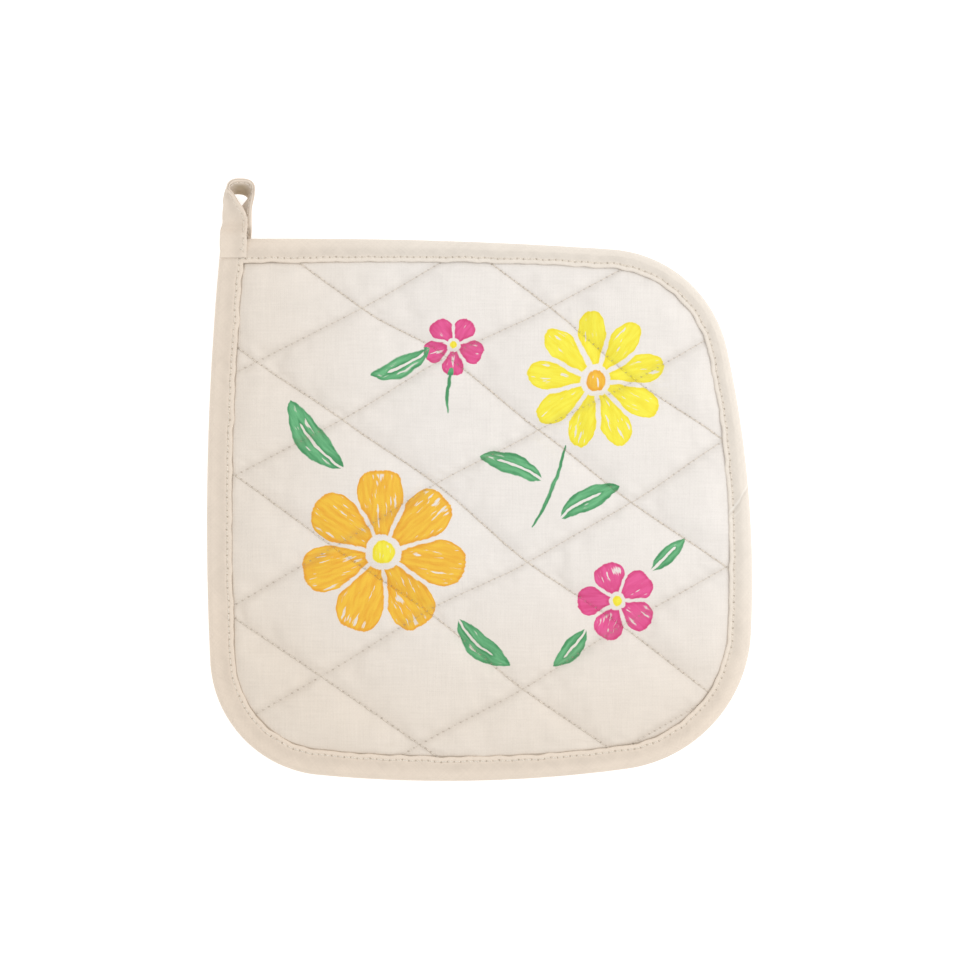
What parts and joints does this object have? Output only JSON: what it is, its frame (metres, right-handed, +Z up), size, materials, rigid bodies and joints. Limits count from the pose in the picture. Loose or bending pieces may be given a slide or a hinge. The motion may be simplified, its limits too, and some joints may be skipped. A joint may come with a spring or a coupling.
{
  "type": "quilted pot holder",
  "caption": "Padded square cloth pot holder with round corners, diamond quilting, a bound edge and a hanging loop at its square corner, lying face up.",
  "frame": {"origin": "on the surface that the pot holder lies on, under the middle of its whole outline with the loop", "axes": "+Z up, out of the printed face; +Y towards the side that the loop stands out from; +X to the right of someone who looks at the face with the loop at the upper left"},
  "size_m": [0.2031, 0.2239, 0.0126],
  "materials": {
    "printed_cloth": "natural off-white linen and cotton cloth, plain weave, printed on the face, plain on the back",
    "binding_cloth": "natural off-white linen and cotton strip, plain weave, folded and top-stitched"
  },
  "bodies": {
    "root": {"quilted_square": "printed_cloth", "edge_binding": "binding_cloth", "hanging_loop": "binding_cloth"}
  },
  "joints": []
}
